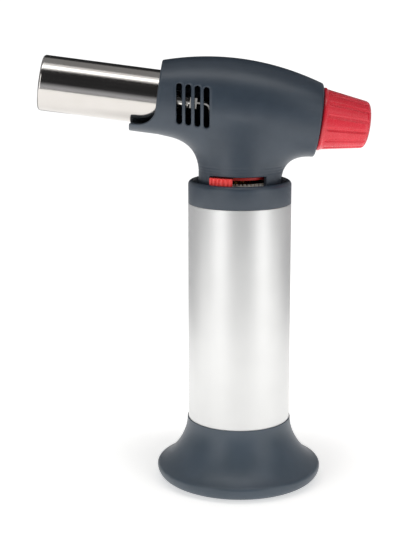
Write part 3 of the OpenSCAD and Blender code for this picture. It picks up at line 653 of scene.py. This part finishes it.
@dataclass
class Foot:
    """Flared foot, its cover and the rubber ring it stands on.

    The brim is its radius and how far it turns; the pulls shape the flare between brim and lip;
    the seat of the sleeve is its bore, its underside and its top.
    """

    radius: float = 35.58
    height: float = 27.2
    wall: float = 2.2
    sole: float = 30.9
    proud: float = 0.5
    rim: float = 5.3
    brim: tuple[float, float] = (1.6, 64.0)
    flare_pull: float = 7.1
    lip_pull: tuple[float, float] = (0.3, 7.8)
    socket: float = 22.1
    lip: float = 0.3
    lip_edge: float = 0.15
    cover_gap: float = 0.4
    cover_top: float = 2.7
    seat: tuple[float, float, float] = (14.0, 8.5, 11.0)

    def skin(self) -> list[tuple[float, float]]:
        """The foot's outer line from the sole to the lip round the sleeve.

        Returns:
            Corners in order.
        """
        top = (self.socket + self.lip, self.height)
        round_r, turn = self.brim
        brim = arc((self.radius - round_r, self.rim), (round_r, round_r), 0, turn, 12)
        start = brim[-1]
        pull = (start[0] - self.flare_pull * math.sin(math.radians(turn)),
                start[1] + self.flare_pull * math.cos(math.radians(turn)))
        low = (top[0] - self.lip_pull[0], top[1] - self.lip_pull[1])
        edge = arc((self.sole, self.rim), (self.radius - self.sole, self.rim - self.proud),
                   -90, 0, 20)
        return edge + brim[1:] + bezier([start, pull, low, top], 40)

    def build(self) -> None:
        """Makes the moulded shell. Its hollow follows the skin, up to where that doubles back."""
        skin = self.skin()
        inmost, outmost = self.socket + self.wall, self.radius - self.wall - 0.15
        hollow = []
        for i, here in enumerate(skin):
            ahead, back = skin[min(i + 1, len(skin) - 1)], skin[max(i - 1, 0)]
            way = Vector((ahead[0] - back[0], ahead[1] - back[1])).normalized()
            point = (here[0] - self.wall * way.y, here[1] + self.wall * way.x)
            if inmost < point[0] < outmost and point[1] > self.cover_top:
                hollow.append(point)
        inner, under, top = self.seat
        opening, edge = self.sole - self.cover_gap, self.lip_edge
        lip = arc((skin[-1][0] - edge, skin[-1][1] - edge), (edge, edge), 0, 90, 5)
        outline = ([(inner, under), (inmost, under)] + hollow[::-1]
                   + [(opening, hollow[0][1]), (opening, self.proud + 0.1)] + skin[:-1] + lip
                   + [(self.socket, self.height), (self.socket, top), (inner, top)])
        show(revolve("foot_skirt", outline, sides=256), "root", "foot_abs", FOOT_ABS,
             "foot_shell")

    def dress(self) -> None:
        """Finishes the cover, the ring and the screws."""
        dress_nodes(FOOT_ABS, "foot_plate")
        dress_nodes(RUBBER, "foot_ring")
        dress_nodes(ZINC_STEEL, "foot_screws")


@dataclass
class Reservoir:
    """Gas tank in its aluminium sleeve, with the refill valve underneath."""

    radius: float = 22.0
    wall: float = 0.8
    bottom: float = 11.0
    top: float = 121.7

    def build(self) -> None:
        """Makes the sleeve, with its cut ends deburred."""
        inner = self.radius - self.wall
        outline = rounded([(inner, self.bottom), (self.radius, self.bottom),
                           (self.radius, self.top), (inner, self.top)], 0.2)
        show(revolve("sleeve", outline, sides=256), "root", "sleeve_aluminium", SLEEVE_ALU,
             "fuel_sleeve")

    def dress(self) -> None:
        """Finishes the tank and the refill valve."""
        dress_nodes(NATURAL_ACETAL, "fuel_tank", "tank_cap")
        dress_nodes(RUBBER, "tank_seal", "refill_seal", "valve_seal")
        dress_nodes(WICK_FELT, "fuel_wick")
        dress_nodes(VALVE_BRASS, "refill_valve", "refill_stem", "valve_body", "valve_stem")
        return_spring("refill_spring", (0, 0, 1))
        return_spring("valve_spring", (0, 0, 1))


@dataclass
class FlowControl:
    """Collar on the sleeve, and the ribbed lever that turns the regulator.

    The ring, hub, arm, tab wall and ribs are inner and outer radii; deck and tab are heights.
    """

    sleeve: float = 22.0
    sleeve_top: float = 121.7
    top: float = 131.4
    neck: float = 17.6
    edge: float = 1.8
    tab_at: float = -27.5
    tab_span: float = 33.0
    ribs: int = 6
    ring: tuple[float, float] = (11.6, 13.2)
    hub: tuple[float, float] = (5.05, 7.8)
    spoke: tuple[float, float, float] = (2.0, 7.0, 12.0)
    arm: tuple[float, float] = (12.2, 18.6)
    tab_wall: tuple[float, float] = (17.97, 18.8)
    rib: tuple[float, float] = (18.2, 19.4)
    rib_half: float = 0.58
    deck: tuple[float, float] = (132.8, 134.0)
    tab: tuple[float, float] = (130.9, 134.3)

    def collar(self) -> list[tuple[float, float]]:
        """The collar's closed profile, with the moat round the neck.

        Returns:
            Corners in order.
        """
        r, top = self.sleeve, self.top
        return ([(r - 0.12, self.sleeve_top + 0.02), (r, self.sleeve_top + 0.2)]
                + arc((r - self.edge, top - self.edge), (self.edge, self.edge), 0, 90, 14)
                + [(self.neck + 2.7, top), (self.neck + 2.4, top - 0.3),
                   (self.neck + 2.2, top - 1.0), (self.neck + 0.25, top - 1.0),
                   (self.neck + 0.25, top - 3.2), (r - 2.3, top - 3.6), (r - 2.3, 118.1),
                   (r - 0.9, 118.1), (r - 0.9, self.sleeve_top)])

    def lever_solid(self, p: np.ndarray) -> np.ndarray:
        """Distance to the lever: ring, spokes, hub and the finger tab with its ribs.

        Args:
            p: points, one to a row.

        Returns:
            One distance for each point.
        """
        r = np.maximum(np.hypot(p[:, 0], p[:, 1]), 0.01)
        turn = np.degrees(np.arctan2(p[:, 0], -p[:, 1])) - self.tab_at
        turn = (turn + 180) % 360 - 180
        deck, high = between(p[:, 2], self.deck), between(p[:, 2], self.tab)
        lie = math.radians(self.tab_at)
        across = p[:, 0] * math.cos(lie) + p[:, 1] * math.sin(lie)
        half, *length = self.spoke
        spokes = np.maximum(np.abs(across) - half, between(r, length))
        sweep = (np.abs(turn) - self.tab_span / 2) * np.radians(1) * r
        arm = np.maximum(between(r, self.arm), sweep + np.radians(1) * r)
        ring_and_hub = np.minimum(between(r, self.ring), between(r, self.hub))
        plate = in_both(np.minimum(ring_and_hub, np.minimum(spokes, arm)), deck, 0.2)
        tab = in_both(between(r, self.tab_wall), in_both(high, sweep, 0.5), 0.25)
        pitch = self.tab_span / self.ribs
        rib = np.abs((turn + self.tab_span / 2) % pitch - pitch / 2) * np.radians(1) * r
        rib = np.maximum(rib - self.rib_half, sweep)
        ribs = in_both(in_both(rib, between(r, self.rib), 0.42), high, 0.3)
        return np.minimum(plate, in_either(tab, ribs, 0.12))

    def build(self) -> None:
        """Makes the collar and the lever."""
        show(revolve("collar_ring", rounded(self.collar(), 0.15), sides=256, sharp=50), "root",
             "head_abs", SLATE_ABS, "collar")
        lever = skin_of("lever_ring", self.lever_solid, (-19.6, -19.6, 130.7),
                        (19.6, 19.6, 134.5), 0.24)
        show(lever, "flow_lever", "lever_pom", LEVER_ACETAL, "flow_lever")

    def dress(self) -> None:
        """Finishes the regulator nut and the click ring."""
        dress_nodes(VALVE_BRASS, "regulator_nut")
        dress_nodes(NATURAL_ACETAL, "detent_ring")


@dataclass
class Head:
    """Two moulded halves that blend the barrel round the burner into the neck.

    The crown is its height over the axis, where it is highest and how fast it falls; the belly
    also has the place where it stops rising. Screws are places along and above the axis.
    """

    axis: Axis
    wall: float = 2.0
    crown: tuple[float, float, float] = (20.8, 2.5, 217.0)
    belly: tuple[float, float, float, float] = (17.2, -6.0, 33.0, 792.0)
    blend: float = 13.0
    neck: float = 17.6
    neck_bottom: float = 124.0
    rear: float = 33.3
    rear_wall: float = 2.2
    front: float = 35.0
    lip_end: float = 45.3
    lip_top: float = -11.2
    lip_round: float = 7.5
    bore: float = 12.7
    bore_start: float = 27.5
    bush: float = 9.9
    vents: int = 4
    vent_first: float = -25.4
    vent_pitch: float = 3.74
    vent_width: float = 2.3
    vent_height: float = 16.8
    slot: tuple[float, float] = (130.6, 134.7)
    slot_sweep: tuple[float, float] = (-47.5, 38.0)
    screws: tuple[tuple[float, float], ...] = ((10, 14.6), (-17, 12.9), (-14, -16.2))
    lines: tuple[float, ...] = (138.1, 136.9, 135.8)
    line_depth: float = 0.10
    line_width: float = 0.22
    post: float = 2.3
    screw_post: float = 2.8
    screw_hole: float = 1.15
    screw_head: float = 2.15
    head_seat: float = 5.2
    step: float = 0.4

    def skin(self, p: np.ndarray, inward: float) -> np.ndarray:
        """Distance from the head's skin, moved inwards.

        Args:
            p: points, one to a row.
            inward: how far the skin is moved in.

        Returns:
            One distance for each point.
        """
        u, w = self.axis.along(p)
        high, crest, fall = self.crown
        deep, lowest, flat, climb = self.belly
        crown = high - (u - crest) ** 2 / fall
        belly = -deep + (np.minimum(u, flat) - lowest) ** 2 / climb
        middle, half = (crown + belly) / 2, (crown - belly) / 2
        rho = np.maximum(np.hypot(p[:, 1], w - middle), 0.01)
        r = np.maximum(np.hypot(p[:, 0], p[:, 1]), 0.01)
        barrel = rho - half + inward
        neck = np.maximum(r - self.neck + inward, p[:, 2] - self.axis.height)
        lean = math.sin(math.radians(self.axis.tilt))
        aligned = (p[:, 0] * lean * (w - middle) + p[:, 1] ** 2) / (rho * r)
        soft = np.maximum(self.blend * (1 - aligned ** 2), 0.01)
        h = np.maximum(soft - np.abs(barrel - neck), 0) / soft
        return np.minimum(barrel, neck) - h * h * soft / 4

    def opening(self, u: np.ndarray, w: np.ndarray) -> np.ndarray:
        """Distance kept from the open front: straight edge, round corner and lip.

        Args:
            u: distances along the axis.
            w: distances above the axis.

        Returns:
            One distance for each point.
        """
        cut = in_both(self.front - u, self.lip_top - w, self.lip_round)
        return in_both(-cut, u - self.lip_end, 0.8)

    def shell(self, p: np.ndarray) -> np.ndarray:
        """Distance to the whole hollow head, before it is split.

        Args:
            p: points, one to a row.

        Returns:
            One distance for each point.
        """
        u, w = self.axis.along(p)
        spread = np.hypot(p[:, 1], w)
        r = np.hypot(p[:, 0], p[:, 1])
        outer = self.skin(p, 0.05)
        for z in self.lines:
            groove = self.line_depth * np.exp(-((p[:, 2] - z) / self.line_width) ** 2)
            outer = outer + groove * (r < 19)
        solid = bevelled(outer, -self.rear - u, 0.3, 45)
        solid = in_both(solid, self.opening(u, w), 0.6)
        solid = in_both(solid, self.neck_bottom - p[:, 2], 0.2)
        hollow = np.maximum(self.skin(p, self.wall), -self.rear + self.rear_wall - u)
        solid = in_both(solid, -hollow, 0.3)
        solid = in_both(solid, -np.maximum(spread - self.bush, u), 0.3)
        return in_both(solid, -np.maximum(spread - self.bore, self.bore_start - u), 0.4)

    def posts(self, p: np.ndarray, side: float, radius: float, reach: float) -> np.ndarray:
        """Distance to round posts on the screw lines, from the split outwards.

        Args:
            p: points, one to a row.
            side: -1 for the near half, 1 for the far one.
            radius: radius of the posts.
            reach: how far they go from the split.

        Returns:
            One distance for each point.
        """
        u, w = self.axis.along(p)
        out = p[:, 1] * side
        posts = np.full(len(p), 1e3)
        for at, up in self.screws:
            post = np.maximum(np.hypot(u - at, w - up) - radius, np.maximum(-out, out - reach))
            posts = np.minimum(posts, post)
        return posts

    def near_half(self, p: np.ndarray) -> np.ndarray:
        """Distance to the half with the air slots and the lever's slot.

        Args:
            p: points, one to a row.

        Returns:
            One distance for each point.
        """
        solid = in_both(self.shell(p), p[:, 1] + 0.02, 0.22)
        solid = in_either(solid, self.posts(p, -1, self.post, 9.5), 0.3)
        lean = math.tan(math.radians(self.axis.tilt))
        for i in range(self.vents):
            x = self.vent_first + i * self.vent_pitch
            rise = np.abs(p[:, 2] - self.axis.height + x * lean)
            straight = np.maximum(rise - (self.vent_height - self.vent_width) / 2, 0)
            hole = self.vent_width / 2 - np.hypot(p[:, 0] - x, straight)
            solid = bevelled(solid, hole, 0.34, 30)
        r = np.hypot(p[:, 0], p[:, 1])
        turn = np.degrees(np.arctan2(p[:, 0], -p[:, 1])) - sum(self.slot_sweep) / 2
        sweep = (np.abs(turn) - (self.slot_sweep[1] - self.slot_sweep[0]) / 2) * np.radians(1) * r
        high = between(p[:, 2], self.slot)
        return in_both(solid, -np.maximum(in_both(high, sweep, 0.5), 12.6 - r), 0.25)

    def far_half(self, p: np.ndarray) -> np.ndarray:
        """Distance to the half with the screw holes.

        Args:
            p: points, one to a row.

        Returns:
            One distance for each point.
        """
        solid = in_both(self.shell(p), 0.02 - p[:, 1], 0.22)
        solid = in_either(solid, self.posts(p, 1, self.screw_post, 9.5), 0.3)
        solid = in_both(solid, -self.posts(p, 1, self.screw_hole, 60), 0.1)
        u, w = self.axis.along(p)
        for at, up in self.screws:
            hole = np.maximum(np.hypot(u - at, w - up) - self.screw_head,
                              self.head_seat - p[:, 1])
            solid = in_both(solid, -hole, 0.3)
        return solid

    def build(self) -> None:
        """Makes both halves."""
        near = skin_of("head_near", self.near_half, (-46.8, -20.6, 123.6), (35.4, 0.4, 185.0),
                       self.step)
        far = skin_of("head_far", self.far_half, (-46.8, -0.4, 123.6), (35.4, 20.6, 185.0),
                      self.step)
        show(near, "root", "head_abs", SLATE_ABS, "head_shell_near")
        show(far, "root", "head_abs", SLATE_ABS, "head_shell_far")

    def dress(self) -> None:
        """Finishes the screws."""
        dress_nodes(ZINC_STEEL, "head_screws")


@dataclass
class Burner:
    """Polished tube with the gas and air mixer inside."""

    axis: Axis
    radius: float = 11.7
    wall: float = 0.6
    start: float = 30.5
    reach: float = 84.3
    mouth: float = 1.1

    def build(self) -> None:
        """Makes the tube, its mouth rolled inwards to a bead."""
        r, end = self.radius, self.reach
        inner = r - self.wall
        outline = ([(inner, self.start), (r, self.start)]
                   + [(r, z) for z in np.linspace(self.start, end - self.mouth, 13)[1:-1]]
                   + arc((r - self.mouth, end - self.mouth), (self.mouth, self.mouth), 0, 180, 28)
                   + [(inner - 0.35, end - 2.0), (inner, end - 2.9)])
        tube = revolve("tube", outline, self.axis.place(), sides=256, sharp=50)
        show(tube, "root", "burner_steel", TUBE_STEEL, "burner_tube")

    def dress(self) -> None:
        """Finishes the mixer, the jet and the electrode."""
        dress_nodes(HEAT_STEEL, "tube_retainer", "flame_holder", "electrode")
        dress_nodes(NICKEL, "mixing_tube", "gas_jet", "gas_pipe")
        dress_nodes(ALUMINA, "electrode_insulator")


@dataclass
class Igniter:
    """Twist knob with its cams, and the igniter that they drive."""

    axis: Axis
    start: float = -33.7
    base: float = 13.3
    tip: float = 10.0
    length: float = 21.6
    rim: float = 1.3
    flutes: int = 14
    flute: float = 1.0
    spring_front: float = 2.0

    def knob_solid(self, p: np.ndarray) -> np.ndarray:
        """Distance to the tapered knob with its finger flutes.

        Args:
            p: points, one to a row.

        Returns:
            One distance for each point.
        """
        u, w = self.axis.along(p)
        back, a = self.start - u, np.hypot(p[:, 1], w)
        wall_top = self.length - 3
        outline = ([(-20, 0), (self.base - 0.4, 0), (self.base, 0.4), (self.base, self.rim),
                    (self.base - 0.5, self.rim + 0.4), (self.tip, wall_top)]
                   + bezier([(self.tip, wall_top), (self.tip - 0.5, wall_top + 1.9),
                             (self.tip - 2.6, self.length - 0.5), (0, self.length)], 16)
                   + [(-20, self.length)])
        solid = profile_distance(a, back, outline)
        r0 = self.base - 0.5
        lean = (r0 - self.tip) / (wall_top - self.rim)
        centre = r0 + 0.3 - (back - self.rim - 1.2) * lean
        pitch = 2 * math.pi / self.flutes
        turn = (np.arctan2(p[:, 1], w) + pitch / 2) % pitch - pitch / 2
        flute = np.hypot(a * np.cos(turn) - centre, a * np.sin(turn)) - self.flute
        flute = in_both(flute, self.rim + 1.2 - back, 0.4)
        solid = in_both(solid, -flute, 0.12)
        solid = np.maximum(solid, -np.maximum(a - self.base + 3, back - 3.2))
        return np.maximum(solid, -np.maximum(np.maximum(a - 4.55, np.abs(w) - 3.25), back - 12))

    def build(self) -> None:
        """Makes the knob."""
        low = self.axis.place(self.start - self.length) @ Vector((0, 0, 0))
        high = self.axis.place(self.start) @ Vector((0, 0, 0))
        reach = self.base + 0.6
        knob = skin_of("knob", self.knob_solid,
                       (high.x - 2.6, -reach, low.z - reach), (low.x + 2.2, reach, high.z + reach),
                       0.25)
        show(knob, "ignition_knob", "knob_abs", KNOB_ABS, "ignition_knob")

    def dress(self) -> None:
        """Finishes the cams, the bush and the igniter."""
        dress_nodes(NATURAL_ACETAL, "cam_sleeve", "knob_bush", "piezo_plunger")
        dress_nodes(BLACK_PBT, "piezo_body")
        front = self.axis.place(self.spring_front).translation
        return_spring("piezo_spring", self.axis.forward())
        dress_nodes(LEAD_SILICONE, "ignition_wire")


# ---------------------------------------------------------------- studio


@dataclass
class Softbox:
    """A soft light: where it stands, what it is turned to, its size in metres and brightness."""

    name: str
    at: tuple[float, float, float]
    aim: tuple[float, float, float]
    size: tuple[float, float]
    brightness: float
    shade: str = "#FFFFFF"

    def build(self) -> None:
        """Adds the light."""
        data = bpy.data.lights.new(self.name, "AREA")
        data.shape = "RECTANGLE"
        data.size, data.size_y = self.size
        data.energy = self.brightness * math.pi * self.size[0] * self.size[1]
        data.color = linear(self.shade)[:3]
        light = bpy.data.objects.new(self.name, data)
        light.location = self.at
        way = Vector(self.aim) - Vector(self.at)
        light.rotation_euler = way.to_track_quat("-Z", "Y").to_euler()
        light.visible_camera = False
        bpy.context.scene.collection.objects.link(light)
        log.info("%s: %.2f by %.2f m", self.name, *self.size)


def flat_card(name: str, low: Sequence[float], high: Sequence[float],
              upright: bool = False) -> Any:
    """A rectangle of the studio, in metres.

    Args:
        name: name of the card.
        low: its first corner.
        high: the opposite corner.
        upright: whether it stands instead of lying level.

    Returns:
        The card.
    """
    mesh = bpy.data.meshes.new(name)
    middle = [(low[0], low[1], high[2]), (high[0], high[1], low[2])] if upright else [
        (low[0], high[1], high[2]), (high[0], low[1], low[2])]
    mesh.from_pydata([tuple(low), middle[1], tuple(high), middle[0]], [], [(0, 1, 2, 3)])
    card = bpy.data.objects.new(name, mesh)
    bpy.context.scene.collection.objects.link(card)
    return card


@dataclass
class Studio:
    """Glowing pale floor, soft lights, grey flags beside the torch and the camera. The floor's glow
    is dimmed next to the foot, which paints a shadow round it.

    A flag reaches from its first two numbers, across and back, to its last two.
    """

    camera_at: tuple[float, float, float] = (-0.01522, -0.54815, 0.21391)
    camera_pitch: float = 79.77
    lens: float = 86.23
    shift: float = -0.1
    board: tuple[float, float] = (0.9, 0.47)
    # How brightly the floor glows next to the foot and further out: the weaker glow by the foot is
    # painted shadow.
    glow: tuple[float, float] = (0.55, 1.0)
    flag: tuple[float, float, float, float] = (0.30, 0.03, 0.12, 0.30)
    boxes: list[Softbox] = field(default_factory=lambda: [
        Softbox("overhead", (-0.02, -0.20, 0.90), (0.0, -0.02, 0.15), (1.1, 0.13), 2.6),
        Softbox("overhead_wide", (-0.02, -0.17, 0.93), (0.0, 0.0, 0.15), (1.2, 0.42), 1.0),
        Softbox("ceiling", (0.0, 0.34, 1.00), (0.0, 0.0, 0.10), (1.2, 0.6), 0.25),
        Softbox("left", (-0.52, -0.56, 0.28), (0.0, 0.0, 0.12), (0.40, 0.8), 1.6),
        Softbox("right", (0.56, -0.48, 0.28), (0.0, 0.0, 0.12), (0.38, 0.8), 1.55),
    ])

    def floor(self) -> None:
        """Lays the pale floor, which glows; its glow is weaker next to the foot, a painted shadow
        round it.
        """
        half, front = self.board
        floor = flat_card("floor", (-half, -front, 0.0), (half, half, 0.0))
        material = bpy.data.materials.new("glowing_white_board_painted_shadow")
        material.use_nodes = True
        tree = material.node_tree
        tree.nodes.clear()
        place = add_node(tree, "ShaderNodeTexCoord")
        away = add_node(tree, "ShaderNodeVectorMath", {}, {0: place.outputs["Object"]},
                        operation="LENGTH")
        # Glow rises with distance from the foot: the dim ring round it is painted shadow.
        glow = add_node(tree, "ShaderNodeMapRange",
                        {"From Min": 0.035, "From Max": 0.11, "To Min": self.glow[0],
                         "To Max": self.glow[1]}, {"Value": away.outputs["Value"]})
        paint = add_node(tree, "ShaderNodeBsdfPrincipled",
                         {"Base Color": linear("#F6F5F2"), "Roughness": 0.7,
                          "Emission Color": linear("#FFFFFF")},
                         {"Emission Strength": glow.outputs[0]})
        add_node(tree, "ShaderNodeOutputMaterial", {}, {"Surface": paint.outputs[0]})
        floor.data.materials.append(material)
        trim = flat_card("front_trim", (-half, -front - 0.07, 0.0), (half, -front, 0.0))
        dark = bpy.data.materials.new("black_trim")
        dark.use_nodes = True
        dark.node_tree.nodes["Principled BSDF"].inputs["Base Color"].default_value = (
            linear("#0C0C0D"))
        trim.data.materials.append(dark)
        flags = [flat_card("flag", (side * self.flag[0], self.flag[1], 0.0),
                           (side * self.flag[2], self.flag[3], 0.34), True)
                 for side in (-1, 1)]
        grey = bpy.data.materials.new("grey_flag_cloth")
        grey.use_nodes = True
        grey.node_tree.nodes["Principled BSDF"].inputs["Base Color"].default_value = (
            linear("#BEBEC0"))
        for flag in flags:
            flag.data.materials.append(grey)
            flag.visible_diffuse = flag.visible_shadow = False
        for card in (trim, *flags):
            card.visible_camera = False

    def sky(self) -> None:
        """White behind everything, and a dim room for what the surfaces mirror."""
        world = bpy.data.worlds.new("studio")
        bpy.context.scene.world = world
        world.use_nodes = True
        tree = world.node_tree
        tree.nodes.clear()
        rays = add_node(tree, "ShaderNodeLightPath")
        way = add_node(tree, "ShaderNodeTexCoord")
        parts = add_node(tree, "ShaderNodeSeparateXYZ", {}, {0: way.outputs["Generated"]})
        depth = add_node(tree, "ShaderNodeMapRange",
                         {"From Min": 0.14, "From Max": -0.12, "To Min": 0.03, "To Max": 0.6},
                         {"Value": parts.outputs["Z"]})
        room = add_node(tree, "ShaderNodeBackground", {"Color": linear("#ECEEF3")},
                        {"Strength": depth.outputs[0]})
        white = add_node(tree, "ShaderNodeBackground", {"Color": linear("#FFFFFF"),
                                                        "Strength": 1.1})
        mix = add_node(tree, "ShaderNodeMixShader", {},
                       {0: rays.outputs["Is Camera Ray"], 1: room.outputs[0],
                        2: white.outputs[0]})
        add_node(tree, "ShaderNodeOutputWorld", {}, {"Surface": mix.outputs[0]})

    def camera(self) -> None:
        """Stands the camera in front of the torch, level with the burner."""
        data = bpy.data.cameras.new("camera")
        data.lens, data.sensor_width, data.shift_y = self.lens, 36.0, self.shift
        data.clip_start = 0.01
        camera = bpy.data.objects.new("camera", data)
        camera.location = self.camera_at
        camera.rotation_euler = (math.radians(self.camera_pitch), 0.0, 0.0)
        bpy.context.scene.collection.objects.link(camera)
        bpy.context.scene.camera = camera

    def build(self) -> None:
        """Sets the whole studio up."""
        self.floor()
        self.sky()
        for box in self.boxes:
            box.build()
        self.camera()
        view = bpy.context.scene.view_settings
        view.view_transform, view.look = "Standard", "None"
        view.exposure, view.gamma = 0.0, 1.0


def main() -> None:
    """Builds each sub-assembly in order, then the studio."""
    logging.basicConfig(level=logging.INFO, format="%(name)s: %(message)s")
    axis = Axis()
    for assembly in (Foot(), Reservoir(), FlowControl(), Head(axis), Burner(axis),
                     Igniter(axis)):
        assembly.build()
        assembly.dress()
    Studio().build()


if __name__ == "__main__":
    main()
